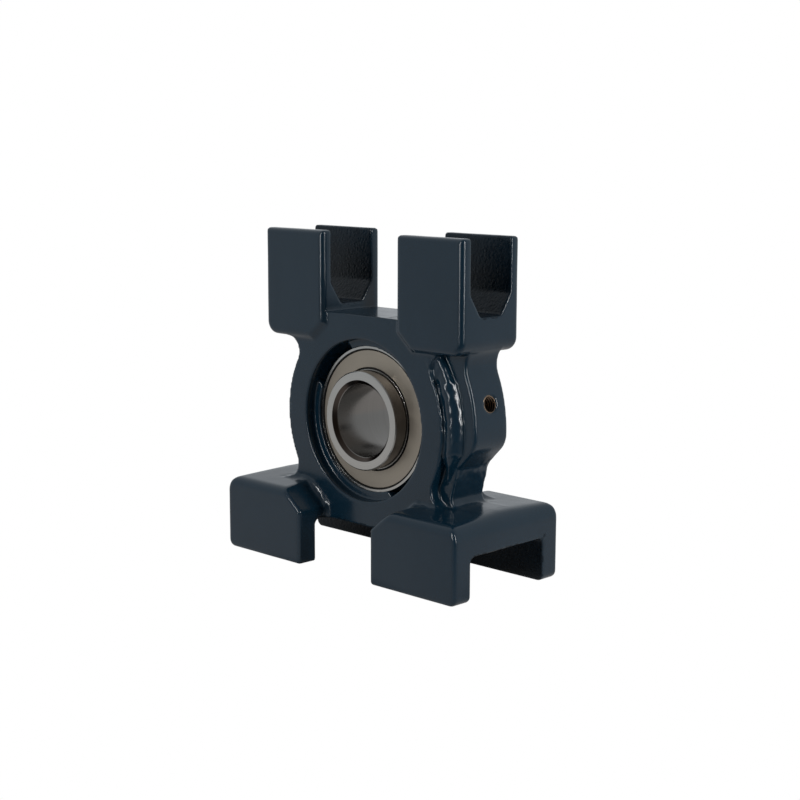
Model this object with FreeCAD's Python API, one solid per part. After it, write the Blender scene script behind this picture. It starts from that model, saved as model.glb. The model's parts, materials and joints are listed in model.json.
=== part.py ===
"""Take up bearing unit: a cast housing that slides between two guide rails and holds a
self-aligning insert bearing for a 25 mm shaft.

Millimetres. The origin is the centre of the bearing. The shaft runs along Y, the front
face is towards -Y, the housing stands on its four lower legs (-Z), and the grease boss
is on the +X side.
"""
import FreeCAD, Part
import math
import os

from FreeCAD import Vector

# Insert bearing
SHAFT_D = 25.0
SPHERE_D = 52.0
OUTER_RING_WIDTH = 15.0
INNER_FRONT_REACH = 12.7
INNER_REAR_REACH = 19.3
BORE_CHAMFER = 1.4
RING_CHAMFER = 0.4
OUTER_WALL = 2.5
RACE_DEPTH = 1.35

# Balls and their cage
BALL_D = 7.938
BALL_COUNT = 9
RACE_RATIO = 0.52
RACE_CLEARANCE = 0.02
CAGE_SHEET = 0.6
CAGE_BAND = 3.4
POCKET_CLEARANCE = 0.15
RIVET_D = 1.4
RIVET_HEAD_D = 2.4
RIVET_HEAD_HEIGHT = 0.5

# Shields, seals and set screws
SHIELD_RIM_WALL = 1.05
SHIELD_RECESS_DEPTH = 0.95
SHIELD_SHEET = 0.7
SHIELD_RIM_GAP = 0.3
SHIELD_BORE_GAP = 0.4
SHIELD_LEDGE = 0.65
SEAL_THICKNESS = 0.9
SEAL_LIP_HEIGHT = 0.5
RUNNING_CLEARANCE = 0.05
SCREW_D = 6.0
SCREW_LENGTH = 5.5
SCREW_FROM_REAR = 5.0
SCREW_ANGLE = 60.0
SCREW_RETRACTION = 0.6
SOCKET_ACROSS_FLATS = 3.0
SOCKET_DEPTH = 2.6
CUP_DEPTH = 0.8

# Housing ring
RING_OD = 74.4
RING_WIDTH = 23.2
RIM_ROUND = 1.0
SEAT_CLEARANCE = 0.05
SEAT_WIDTH = 16.6
COUNTERBORE_D = 56.4
LOADING_SLOT_WIDTH = 20.6
LOADING_SLOT_ANGLE = 135.0
GREASE_GROOVE_WIDTH = 6.0
GREASE_GROOVE_DEPTH = 0.8
GREASE_GROOVE_OFFSET = 1.6
OIL_HOLE_D = 1.6
OIL_HOLE_OFFSET = 4.4

# Grease boss on the +X side
BOSS_OD = 95.7
BOSS_WIDTH = 14.8
BOSS_EDGE_ROUND = 0.9
BOSS_LOW_EDGE = -3.9
BOSS_BEVEL_ANGLE = 45.0
BOSS_BEVEL_ROUND = 8.0
BOSS_FOOT_X = 40.3
BOSS_FOOT_LEAN = 14.5
BOSS_FOOT_ROUND = 1.5
BOSS_FOOT_FILLET = 3.0
BOSS_TOP_FILLET = 8.5
GREASE_THREAD_D = 6.0
GREASE_THREAD_PITCH = 1.0
GREASE_THREAD_DEPTH = 10.0
GREASE_PASSAGE_D = 3.0
GREASE_ANGLE = 12.0
GREASE_COUNTERSINK = 0.5

# Upper arms
TOP_HEIGHT = 63.1
TOP_SPAN = 93.2
TOP_DEPTH = 27.4
TOP_GAP = 34.6
TOP_ARM_UNDERSIDE = 26.0
TOP_CORNER_RADIUS = 4.5
TOP_CHAMFER_X = 6.4
TOP_CHAMFER_Z = 5.7
TOP_SLOT_WIDTH = 19.1
TOP_SLOT_DEPTH = 25.0
TOP_SLOT_CHAMFER_Y = 4.7
TOP_SLOT_CHAMFER_Z = 7.1
TOP_SLOT_ROUND = 1.6
SADDLE_HEIGHT = 35.6

# Lower arms
BASE_DROP = 50.8
BASE_SPAN = 110.0
BASE_DEPTH = 51.0
BASE_GAP = 34.4
BASE_ARM_TOP = 24.0
BASE_UPPER_RADIUS = 6.5
BASE_LOWER_RADIUS = 2.6
BASE_SHOULDER_RADIUS = 3.5
BASE_CROWN = 1.3
BASE_CHAMFER_X = 9.9
BASE_CHAMFER_Z = 8.2
CHANNEL_WIDTH = 35.2
CHANNEL_DEPTH = 14.8
CHANNEL_ROUND = 2.0

# Casting fillets
NECK_FILLET = 5.5
FACE_FILLET = 3.5
STEP_FILLET = 1.2
EDGE_ROUND = 1.1
MOUTH_ROUND = 0.7

# Slack allowed when edges are chosen by their place
TOLERANCE = 1e-4

# Radii of the insert, from the sphere inwards
OUTER_RACE_RADIUS = SPHERE_D / 2 - OUTER_WALL
PITCH_RADIUS = OUTER_RACE_RADIUS - RACE_CLEARANCE - BALL_D / 2
INNER_RACE_RADIUS = PITCH_RADIUS - BALL_D / 2 - RACE_CLEARANCE
INNER_RING_RADIUS = INNER_RACE_RADIUS + RACE_DEPTH
LAND_RADIUS = OUTER_RACE_RADIUS - RACE_DEPTH
OUTER_RING_EDGE = math.sqrt((SPHERE_D / 2) ** 2 - (OUTER_RING_WIDTH / 2) ** 2)
SHIELD_RECESS_RADIUS = OUTER_RING_EDGE - SHIELD_RIM_WALL
SEAL_SEAT_RADIUS = SHIELD_RECESS_RADIUS - SHIELD_LEDGE

AXIS = Vector(0, 1, 0)
ORIGIN = Vector(0, 0, 0)


def line(start, end):
    return Part.makeLine(start, end)


def arc(start, middle, end):
    return Part.Arc(start, middle, end).toShape()


def face_of(edges):
    return Part.Face(Part.Wire(edges))


def polygon(points):
    return Part.Face(Part.makePolygon(points + points[:1]))


def turned(edges):
    """A solid of revolution about the shaft axis, from a section in radius (X) and Y."""
    return face_of(edges).revolve(ORIGIN, AXIS, 360)


def turned_polygon(points):
    return polygon([Vector(r, y, 0) for r, y in points]).revolve(ORIGIN, AXIS, 360)


def tube(outer_radius, inner_radius, start, end):
    length = end - start
    outer = Part.makeCylinder(outer_radius, length, Vector(0, start, 0), AXIS)
    inner = Part.makeCylinder(inner_radius, length, Vector(0, start, 0), AXIS)
    return outer.cut(inner)


def ball_centre(index):
    angle = math.radians(90 + index * 360 / BALL_COUNT)
    return Vector(PITCH_RADIUS * math.cos(angle), 0, PITCH_RADIUS * math.sin(angle))


def raceway(bottom_radius, outward):
    """A ring-shaped cutter whose round section reaches bottom_radius."""
    section = BALL_D * RACE_RATIO
    centre = bottom_radius - outward * section
    return Part.makeTorus(centre, section, ORIGIN, AXIS)


def outer_ring():
    half = OUTER_RING_WIDTH / 2
    radius = SPHERE_D / 2
    shelf = half - SHIELD_RECESS_DEPTH
    shoulder = shelf - SEAL_THICKNESS
    inner = [(SHIELD_RECESS_RADIUS, half), (SHIELD_RECESS_RADIUS, shelf), (SEAL_SEAT_RADIUS, shelf),
             (SEAL_SEAT_RADIUS, shoulder), (LAND_RADIUS, shoulder)]
    path = [Vector(r, y, 0) for r, y in inner]
    path += [Vector(r, -y, 0) for r, y in reversed(inner)]
    path = [Vector(OUTER_RING_EDGE, half, 0)] + path + [Vector(OUTER_RING_EDGE, -half, 0)]
    edges = [line(a, b) for a, b in zip(path, path[1:])]
    edges.append(arc(path[-1], Vector(radius, 0, 0), path[0]))
    ring = turned(edges).cut(raceway(OUTER_RACE_RADIUS, 1))
    oil_hole = Part.makeCylinder(OIL_HOLE_D / 2, radius, Vector(0, OIL_HOLE_OFFSET, 0), grease_direction())
    return ring.cut(oil_hole)


def inner_ring():
    bore = SHAFT_D / 2
    outside = INNER_RING_RADIUS
    front, rear = -INNER_FRONT_REACH, INNER_REAR_REACH
    ring = turned_polygon([
        (bore, front + BORE_CHAMFER), (bore + BORE_CHAMFER, front), (outside - RING_CHAMFER, front),
        (outside, front + RING_CHAMFER), (outside, rear - RING_CHAMFER), (outside - RING_CHAMFER, rear),
        (bore + BORE_CHAMFER, rear), (bore, rear - BORE_CHAMFER)])
    ring = ring.cut(raceway(INNER_RACE_RADIUS, -1))
    for side in (1, -1):
        hole = Part.makeCylinder(SCREW_D / 2, SPHERE_D, screw_point(0), screw_direction(side))
        ring = ring.cut(hole)
    return ring


def screw_point(radius, side=1):
    return screw_direction(side) * radius + Vector(0, INNER_REAR_REACH - SCREW_FROM_REAR, 0)


def screw_direction(side):
    angle = math.radians(90 + side * SCREW_ANGLE)
    return Vector(math.cos(angle), 0, math.sin(angle))


def hexagonal_socket():
    """Hexagonal prism from Z = 0 downwards, for the head of a set screw."""
    radius = SOCKET_ACROSS_FLATS / math.sqrt(3)
    corners = [Vector(radius * math.cos(math.radians(60 * i)), radius * math.sin(math.radians(60 * i)), 0)
               for i in range(6)]
    return polygon(corners).extrude(Vector(0, 0, -SOCKET_DEPTH))


def set_screw(side):
    """Hexagon socket set screw with a cup point, drawn back clear of the shaft."""
    screw = Part.makeCylinder(SCREW_D / 2 - RUNNING_CLEARANCE, SCREW_LENGTH)
    screw = screw.makeChamfer(RING_CHAMFER, [e for e in screw.Edges if e.Curve.TypeId == "Part::GeomCircle"])
    cup = Part.makeCone(SCREW_D / 4, 0, CUP_DEPTH)
    socket = hexagonal_socket()
    socket.translate(Vector(0, 0, SCREW_LENGTH))
    screw = screw.cut(cup).cut(socket)
    turn = FreeCAD.Rotation(Vector(0, 0, 1), screw_direction(side))
    screw.Placement = FreeCAD.Placement(screw_point(SHAFT_D / 2 + SCREW_RETRACTION, side), turn)
    return screw


def ball_shape(index, radius):
    return Part.makeSphere(radius, ball_centre(index), AXIS)


def ball(index):
    return ball_shape(index, BALL_D / 2)


def cage_half(side):
    """Pressed cage half: flat lands between the balls and a round pocket over each ball."""
    inside, outside = PITCH_RADIUS - CAGE_BAND / 2, PITCH_RADIUS + CAGE_BAND / 2
    pocket = BALL_D / 2 + POCKET_CLEARANCE
    reach = pocket + CAGE_SHEET
    start, end = sorted((0.0, side * CAGE_SHEET))
    lands = tube(outside, inside, start, end)
    start, end = sorted((0.0, side * reach))
    band = tube(outside, inside, start, end)
    domes = [ball_shape(i, reach).common(band) for i in range(BALL_COUNT)]
    half = lands.multiFuse(domes)
    for index in range(BALL_COUNT):
        half = half.cut(ball_shape(index, pocket)).cut(rivet_shank(index, RIVET_D / 2))
    return half


def rivet_shank(index, radius):
    angle = math.radians(90 + (index + 0.5) * 360 / BALL_COUNT)
    foot = Vector(PITCH_RADIUS * math.cos(angle), -CAGE_SHEET, PITCH_RADIUS * math.sin(angle))
    return Part.makeCylinder(radius, 2 * CAGE_SHEET, foot, AXIS)


def cage_rivets():
    """The rivets that hold the two cage halves together, one on each land."""
    rivets = []
    for index in range(BALL_COUNT):
        shank = rivet_shank(index, RIVET_D / 2)
        foot = shank.BoundBox.Center - AXIS * CAGE_SHEET
        heads = [Part.makeCylinder(RIVET_HEAD_D / 2, RIVET_HEAD_HEIGHT, foot, AXIS * -1),
                 Part.makeCylinder(RIVET_HEAD_D / 2, RIVET_HEAD_HEIGHT, foot + AXIS * 2 * CAGE_SHEET, AXIS)]
        rivets.append(shank.multiFuse(heads).removeSplitter())
    return Part.makeCompound(rivets)


def shield(side):
    """Flat sheet ring that is pressed into the outer ring, with a rim gap and a bore gap."""
    shelf = OUTER_RING_WIDTH / 2 - SHIELD_RECESS_DEPTH
    start, end = sorted((side * shelf, side * (shelf + SHIELD_SHEET)))
    return tube(SHIELD_RECESS_RADIUS - SHIELD_RIM_GAP, INNER_RING_RADIUS + SHIELD_BORE_GAP, start, end)


def seal(side):
    """Rubber ring behind the shield, with a thicker lip that runs on the inner ring."""
    back = OUTER_RING_WIDTH / 2 - SHIELD_RECESS_DEPTH
    front = back - SEAL_THICKNESS
    lip = INNER_RING_RADIUS + RUNNING_CLEARANCE
    knee = lip + SEAL_THICKNESS
    section = [(lip, back), (SEAL_SEAT_RADIUS, back), (SEAL_SEAT_RADIUS, front), (knee, front),
               (knee - SEAL_LIP_HEIGHT / 2, front - SEAL_LIP_HEIGHT), (lip, front - SEAL_LIP_HEIGHT)]
    return turned_polygon([(r, side * y) for r, y in section])


def grease_direction():
    angle = math.radians(GREASE_ANGLE)
    return Vector(math.cos(angle), 0, math.sin(angle))


def corner_round(before, here, after, radius):
    """Start, middle and end of the arc that rounds the corner here between two straight edges."""
    back = (before - here).normalize()
    on = (after - here).normalize()
    half_angle = back.getAngle(on) / 2
    run = radius / math.tan(half_angle)
    inward = (back + on).normalize() * (radius / math.sin(half_angle) - radius)
    return [here + back * run, here + inward, here + on * run]


def rounded_outline(corners, place):
    """Closed wire through corners (a, b, radius), each rounded; place turns (a, b) into a point."""
    points = [place(a, b) for a, b, _ in corners]
    count = len(points)
    bends = [corner_round(points[i - 1], points[i], points[(i + 1) % count], corners[i][2])
             for i in range(count)]
    edges = []
    for index, bend in enumerate(bends):
        if corners[index][2]:
            edges.append(arc(*bend))
        edges.append(line(bend[2], bends[(index + 1) % count][0]))
    return Part.Wire(edges)


def front_prism(corners, half_depth):
    """Prism with a rounded front view (x, z, radius), from Y = -half_depth to half_depth."""
    wire = rounded_outline(corners, lambda x, z: Vector(x, -half_depth, z))
    return Part.Face(wire).extrude(Vector(0, 2 * half_depth, 0))


def side_prism(corners, start, end):
    """Prism with a rounded side view (y, z, radius), from X = start to X = end."""
    wire = rounded_outline(corners, lambda y, z: Vector(start, y, z))
    return Part.Face(wire).extrude(Vector(end - start, 0, 0))


def neck_arc(level, ring_radius, fillet):
    """Start, middle and end of the fillet between a level arm face and a round side at +X."""
    sign = math.copysign(1, level)
    centre_z = level - sign * fillet
    reach = ring_radius + fillet
    centre = Vector(math.sqrt(reach ** 2 - centre_z ** 2), 0, centre_z)
    to_arm = Vector(0, 0, sign)
    to_ring = centre * (-1 / reach)
    middle = (to_arm + to_ring).normalize()
    return [centre + direction * fillet for direction in (to_arm, middle, to_ring)]


def corner_arc(corner, corner_radius, ring_radius, fillet):
    """Start, middle and end of the fillet between a rounded corner and a round side at +X."""
    reach = ring_radius + fillet
    gap = corner_radius + fillet
    span = corner.Length
    along = (reach ** 2 - gap ** 2 + span ** 2) / (2 * span)
    unit = corner * (1 / span)
    across = Vector(unit.z, 0, -unit.x)
    centre = unit * along + across * math.sqrt(reach ** 2 - along ** 2)
    to_corner = (corner - centre).normalize()
    to_ring = centre * (-1 / reach)
    middle = (to_corner + to_ring).normalize()
    return [centre + direction * fillet for direction in (to_corner, middle, to_ring)]


def crowned_level(y):
    """Height of the lower arm's top at this depth: it falls from the middle to both sides."""
    return -BASE_ARM_TOP - BASE_CROWN * abs(y) / (BASE_DEPTH / 2)


def core_outline():
    """Front view of the ring plate: saddle, neck fillets, round sides and lower bridge."""
    top = neck_arc(TOP_ARM_UNDERSIDE, RING_OD / 2, NECK_FILLET)
    low = neck_arc(crowned_level(RING_WIDTH / 2), RING_OD / 2, NECK_FILLET)
    bridge = CHANNEL_DEPTH - BASE_DROP
    edges = []
    for s in (1, -1):
        right = [Vector(0, 0, SADDLE_HEIGHT), Vector(top[0].x, 0, SADDLE_HEIGHT), *top,
                 Vector(RING_OD / 2, 0, 0), *reversed(low), Vector(low[0].x, 0, bridge), Vector(0, 0, bridge)]
        p = [Vector(s * v.x, 0, v.z) for v in right]
        edges += [line(p[0], p[1]), line(p[1], p[2]), arc(p[2], p[3], p[4]), arc(p[4], p[5], p[6]),
                  arc(p[6], p[7], p[8]), line(p[8], p[9]), line(p[9], p[10])]
    return Part.Wire(Part.__sortEdges__(edges))


def core_plate():
    """The ring plate with its front and back outline rounded."""
    outline = core_outline()
    outline.translate(Vector(0, -RING_WIDTH / 2, 0))
    plate = Part.Face(outline).extrude(Vector(0, RING_WIDTH, 0)).removeSplitter()
    return plate.makeFillet(RIM_ROUND, flat_edges(plate, RING_WIDTH / 2))


def flat_edges(shape, reach):
    """The edges that lie in the planes Y = -reach and Y = +reach."""
    found = []
    for edge in shape.Edges:
        box = edge.BoundBox
        if box.YLength < TOLERANCE and abs(abs(box.Center.y) - reach) < TOLERANCE:
            found.append(edge)
    return found


def bevel_round(pad_end):
    """Start, middle and end of the arc that turns the boss's round pad into its bevel."""
    angle = math.radians(BOSS_BEVEL_ANGLE)
    outward, up = Vector(math.cos(angle), 0, -math.sin(angle)), Vector(math.sin(angle), 0, math.cos(angle))
    level = outward.dot(pad_end) - BOSS_BEVEL_ROUND
    reach = BOSS_OD / 2 - BOSS_BEVEL_ROUND
    centre = outward * level + up * math.sqrt(reach ** 2 - level ** 2)
    to_pad = centre * (1 / reach)
    middle = (to_pad + outward).normalize()
    return [centre + direction * BOSS_BEVEL_ROUND for direction in (to_pad, middle, outward)]


def boss_outline():
    """Front view of the grease boss: top fillet, pad, bevel, foot wall and fillet to the lower arm."""
    radius, floor = BOSS_OD / 2, crowned_level(RING_WIDTH / 2)
    root = RING_OD / 2 - NECK_FILLET
    corner = Vector(TOP_SPAN / 2 - TOP_CORNER_RADIUS, 0, TOP_ARM_UNDERSIDE + TOP_CORNER_RADIUS)
    top = corner_arc(corner, TOP_CORNER_RADIUS, radius, BOSS_TOP_FILLET)
    pad_end = Vector(math.sqrt(radius ** 2 - BOSS_LOW_EDGE ** 2), 0, BOSS_LOW_EDGE)
    drop = (pad_end.x - BOSS_FOOT_X) / math.tan(math.radians(BOSS_BEVEL_ANGLE))
    foot = Vector(BOSS_FOOT_X, 0, BOSS_LOW_EDGE - drop)
    wall_x = BOSS_FOOT_X - (foot.z - floor) * math.tan(math.radians(BOSS_FOOT_LEAN))
    bend = corner_round(pad_end, foot, Vector(wall_x, 0, floor), BOSS_FOOT_ROUND)
    sweep = corner_round(foot, Vector(wall_x, 0, floor), Vector(radius, 0, floor), BOSS_FOOT_FILLET)
    below = floor - NECK_FILLET
    sill = sweep[2]
    path = [sill, Vector(sill.x, 0, below), Vector(root, 0, below), Vector(root, 0, corner.z), corner, top[0]]
    turn = bevel_round(pad_end)
    edges = [arc(*top), arc(top[2], (top[2] + turn[0]).normalize() * radius, turn[0]), arc(*turn),
             line(turn[2], bend[0]), arc(*bend), line(bend[2], sweep[0]), arc(*sweep)]
    return Part.Wire(edges + [line(start, end) for start, end in zip(path, path[1:])])


def boss_prism(half_depth):
    outline = boss_outline()
    outline.translate(Vector(0, -half_depth, 0))
    return Part.Face(outline).extrude(Vector(0, 2 * half_depth, 0))


def boss_valley():
    """Smooth hollow between the ring's rims and the flanks of the boss, as a turned section."""
    ring, half = RING_OD / 2, BOSS_WIDTH / 2
    valley = (RING_WIDTH - BOSS_WIDTH) / 2 - RIM_ROUND
    dip = valley * (1 - math.sqrt(0.5))
    low, high = ring - RIM_ROUND, ring + valley
    edges = []
    for s in (-1, 1):
        foot, flank = Vector(ring, s * (half + valley), 0), Vector(high, s * half, 0)
        edges += [line(Vector(low, 0, 0), Vector(low, foot.y, 0)), line(Vector(low, foot.y, 0), foot),
                  arc(foot, Vector(ring + dip, s * (half + dip), 0), flank), line(flank, Vector(high, 0, 0))]
    return face_of(Part.__sortEdges__(edges)).revolve(ORIGIN, AXIS, 360)


def grease_boss():
    """Curved pad on the +X side for the grease thread, with a foot down to the lower arm."""
    body = boss_prism(BOSS_WIDTH / 2)
    inside = RING_OD / 2 - NECK_FILLET + RIM_ROUND
    floor = -BASE_ARM_TOP - BASE_CROWN
    edges = [edge for edge in flat_edges(body, BOSS_WIDTH / 2)
             if edge.BoundBox.XMin > inside and floor < edge.BoundBox.Center.z < TOP_ARM_UNDERSIDE]
    body = body.makeFillet(BOSS_EDGE_ROUND, edges)
    return body.fuse(boss_valley().common(boss_prism(RING_WIDTH / 2)))


def upper_corners(side):
    inner, outer, under = side * TOP_GAP / 2, side * TOP_SPAN / 2, TOP_ARM_UNDERSIDE
    return [(inner, TOP_HEIGHT, EDGE_ROUND), (outer, TOP_HEIGHT, EDGE_ROUND),
            (outer, under, TOP_CORNER_RADIUS), (inner + side * TOP_CHAMFER_X, under, EDGE_ROUND),
            (inner, under + TOP_CHAMFER_Z, EDGE_ROUND)]


def lower_corners(side):
    inner, outer, top = side * BASE_GAP / 2, side * BASE_SPAN / 2, -BASE_ARM_TOP
    return [(inner, -BASE_DROP, EDGE_ROUND), (outer, -BASE_DROP, BASE_LOWER_RADIUS),
            (outer, top, BASE_UPPER_RADIUS), (inner + side * BASE_CHAMFER_X, top, EDGE_ROUND),
            (inner, top - BASE_CHAMFER_Z, EDGE_ROUND)]


def mouth_edges(arm, half, rim, depth):
    """The edges where a slot of this half width and depth, open at the level rim, opens through an arm."""
    found = []
    for edge in arm.Edges:
        box = edge.BoundBox
        within = max(abs(box.YMin), abs(box.YMax)) < half + TOLERANCE
        inside = within and abs(box.Center.z - rim) < depth + TOLERANCE
        lengthwise = max(box.YLength, box.ZLength) < TOLERANCE
        if inside and (not lengthwise or abs(box.Center.z - rim) < TOLERANCE):
            found.append(edge)
    return found


def upper_arm(side):
    """Hollow fork arm, open upwards, for the upper guide rail."""
    arm = front_prism(upper_corners(side), TOP_DEPTH / 2)
    arm = arm.makeFillet(EDGE_ROUND, flat_edges(arm, TOP_DEPTH / 2))
    half, bottom = TOP_SLOT_WIDTH / 2, TOP_HEIGHT - TOP_SLOT_DEPTH
    step = half - TOP_SLOT_CHAMFER_Y
    shoulder = bottom + TOP_SLOT_CHAMFER_Z
    over = TOP_HEIGHT + TOP_SLOT_DEPTH
    slot = side_prism([(-half, over, 0), (-half, shoulder, TOP_SLOT_ROUND), (-step, bottom, TOP_SLOT_ROUND),
                       (step, bottom, TOP_SLOT_ROUND), (half, shoulder, TOP_SLOT_ROUND), (half, over, 0)],
                      -TOP_SPAN, TOP_SPAN)
    arm = arm.cut(slot)
    return arm.makeFillet(MOUTH_ROUND, mouth_edges(arm, half, TOP_HEIGHT, TOP_SLOT_DEPTH))


def lower_block(side):
    """Outside of a lower arm, with a crowned top."""
    half, top, under = BASE_DEPTH / 2, crowned_level(BASE_DEPTH / 2), -BASE_DROP - BASE_DEPTH
    block = front_prism(lower_corners(side), half)
    block = block.makeFillet(EDGE_ROUND, flat_edges(block, half))
    across = side_prism([(-half, under, 0), (half, under, 0), (half, top, BASE_SHOULDER_RADIUS),
                         (0, -BASE_ARM_TOP, 0), (-half, top, BASE_SHOULDER_RADIUS)], -BASE_SPAN, BASE_SPAN)
    return block.common(across)


def lower_arm(side):
    """Hollow arm, open downwards, for the lower guide rail."""
    half, ceiling = CHANNEL_WIDTH / 2, CHANNEL_DEPTH - BASE_DROP
    under = -BASE_DROP - CHANNEL_DEPTH
    channel = side_prism([(-half, under, 0), (half, under, 0), (half, ceiling, CHANNEL_ROUND),
                          (-half, ceiling, CHANNEL_ROUND)], -BASE_SPAN, BASE_SPAN)
    arm = lower_block(side).cut(channel)
    return arm.makeFillet(MOUTH_ROUND, mouth_edges(arm, half, -BASE_DROP, CHANNEL_DEPTH))


def junction(block, radius):
    """The casting fillet between an arm and the flat faces of the ring plate."""
    half = RING_WIDTH / 2
    size = 2 * BASE_SPAN
    slab = Part.makeBox(size, RING_WIDTH, size, Vector(-size / 2, -half, -size / 2))
    joined = block.fuse(slab)
    border = size / 2 - RIM_ROUND
    root = [edge for edge in flat_edges(joined, half)
            if max(abs(edge.BoundBox.Center.x), abs(edge.BoundBox.Center.z)) < border]
    outline = core_outline()
    outline.translate(Vector(0, -half - radius, 0))
    reach = Part.Face(outline).extrude(Vector(0, RING_WIDTH + 2 * radius, 0))
    return joined.makeFillet(radius, root).common(reach)


def bearing_space():
    """Everything that is taken out of the ring: counterbores, spherical seat and grease groove."""
    half = SEAT_WIDTH / 2
    radius = SPHERE_D / 2 + SEAT_CLEARANCE
    seat = Part.makeSphere(radius).common(Part.makeCylinder(radius, SEAT_WIDTH, Vector(0, -half, 0), AXIS))
    depth = (RING_WIDTH - SEAT_WIDTH) / 2
    wells = []
    for direction in (-1, 1):
        foot = Vector(0, direction * half, 0)
        wells.append(Part.makeCylinder(COUNTERBORE_D / 2, 2 * depth, foot, AXIS * direction))
    groove = Part.makeCylinder(radius + GREASE_GROOVE_DEPTH, GREASE_GROOVE_WIDTH,
                               Vector(0, GREASE_GROOVE_OFFSET - GREASE_GROOVE_WIDTH / 2, 0), AXIS)
    return seat.multiFuse(wells + [groove])


def loading_slots():
    """Two opposite cut-outs, from the front to mid-width, that let the insert in edge first."""
    well = Part.makeCylinder(COUNTERBORE_D / 2, RING_WIDTH, Vector(0, -RING_WIDTH, 0), AXIS)
    block = Part.makeBox(COUNTERBORE_D, RING_WIDTH, LOADING_SLOT_WIDTH,
                         Vector(-COUNTERBORE_D / 2, -RING_WIDTH, -LOADING_SLOT_WIDTH / 2))
    block.rotate(ORIGIN, AXIS, -LOADING_SLOT_ANGLE)
    return block.common(well)


def grease_hole():
    """Threaded hole in the boss at its core diameter, with a finer passage on to the seat."""
    way = grease_direction()
    core = (GREASE_THREAD_D - GREASE_THREAD_PITCH) / 2
    face = BOSS_OD / 2
    thread = Part.makeCylinder(core, 2 * GREASE_THREAD_DEPTH, way * (face - GREASE_THREAD_DEPTH), way)
    passage = Part.makeCylinder(GREASE_PASSAGE_D / 2, face, ORIGIN, way)
    sink = Part.makeCone(core, core + 2 * GREASE_COUNTERSINK, 2 * GREASE_COUNTERSINK,
                         way * (face - GREASE_COUNTERSINK), way)
    return thread.multiFuse([passage, sink])


def housing():
    """The casting: ring plate, grease boss and four hollow arms, machined for the bearing."""
    pieces = [grease_boss()]
    for side in (1, -1):
        step = front_prism(upper_corners(side), RING_WIDTH / 2 + 2 * STEP_FILLET)
        pieces += [upper_arm(side), lower_arm(side)]
        pieces += [junction(step, STEP_FILLET), junction(lower_block(side), FACE_FILLET)]
    body = core_plate().multiFuse(pieces).removeSplitter()
    body = body.cut(bearing_space()).cut(loading_slots())
    return body.cut(grease_hole()).removeSplitter()


def all_parts():
    parts = {"housing": housing(), "outer_ring": outer_ring(), "inner_ring": inner_ring()}
    for index in range(BALL_COUNT):
        parts["ball_%d" % (index + 1)] = ball(index)
    parts["cage_front_half"] = cage_half(-1)
    parts["cage_rear_half"] = cage_half(1)
    parts["cage_rivets"] = cage_rivets()
    parts["front_shield"] = shield(-1)
    parts["rear_shield"] = shield(1)
    parts["front_seal"] = seal(-1)
    parts["rear_seal"] = seal(1)
    parts["set_screw_1"] = set_screw(1)
    parts["set_screw_2"] = set_screw(-1)
    return parts


def main():
    os.makedirs("parts", exist_ok=True)
    for name, shape in all_parts().items():
        shape.exportStep("parts/%s.step" % name)


main()
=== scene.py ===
"""Take up bearing unit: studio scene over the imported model.

Blender works in metres. The cast skin of the housing is worked out in millimetres: a distance field
on a regular grid, negative inside the metal, whose zero level becomes the mesh.
"""
import json
import math

import bpy
import numpy as np
from mathutils import Matrix, Vector


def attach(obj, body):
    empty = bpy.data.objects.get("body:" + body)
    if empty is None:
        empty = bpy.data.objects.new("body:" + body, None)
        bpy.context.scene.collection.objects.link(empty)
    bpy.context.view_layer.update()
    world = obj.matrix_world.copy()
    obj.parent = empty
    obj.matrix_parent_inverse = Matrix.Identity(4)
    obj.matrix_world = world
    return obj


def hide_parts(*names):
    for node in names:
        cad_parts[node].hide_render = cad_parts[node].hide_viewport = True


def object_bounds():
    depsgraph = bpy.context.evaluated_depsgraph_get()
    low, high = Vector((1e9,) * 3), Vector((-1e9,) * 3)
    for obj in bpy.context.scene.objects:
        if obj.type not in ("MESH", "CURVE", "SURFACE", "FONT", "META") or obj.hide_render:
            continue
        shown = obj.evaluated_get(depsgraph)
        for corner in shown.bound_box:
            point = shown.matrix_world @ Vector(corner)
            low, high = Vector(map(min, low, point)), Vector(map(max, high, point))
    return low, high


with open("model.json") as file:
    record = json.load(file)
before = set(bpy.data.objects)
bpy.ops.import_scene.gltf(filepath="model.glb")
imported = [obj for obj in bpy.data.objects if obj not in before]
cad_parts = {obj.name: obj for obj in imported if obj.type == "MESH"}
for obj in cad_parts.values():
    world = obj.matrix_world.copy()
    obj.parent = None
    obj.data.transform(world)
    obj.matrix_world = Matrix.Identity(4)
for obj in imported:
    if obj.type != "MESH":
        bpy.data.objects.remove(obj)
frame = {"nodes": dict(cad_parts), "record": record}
cad_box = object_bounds()

MM = 0.001
GRID_LOW, GRID_HIGH, GRID_STEP, RADIUS_STEP = (-57.0, -27.5, -53.0), (57.1, 27.6, 65.6), 0.5, 0.2
SKIN_TRIANGLES = 190000
FAR = 90.0
PAST_MIDDLE = -5.0

# Ring plate of the housing (mm)
RING_RADIUS = 36.7
RING_HALF = 12.1
RIM_ROUND = 1.1
NECK_FILLET = 5.5
SADDLE_HEIGHT = 35.6
SEAT_RADIUS, SEAT_HALF, SEAT_EDGE = 26.05, 8.3, 0.35
COUNTERBORE_RADIUS, COUNTERBORE_END = 27.6, 30.0
LOADING_SLOT_HALF, LOADING_SLOT_ANGLE, LOADING_SLOT_EDGE = 10.3, 135.0, 0.3

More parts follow.
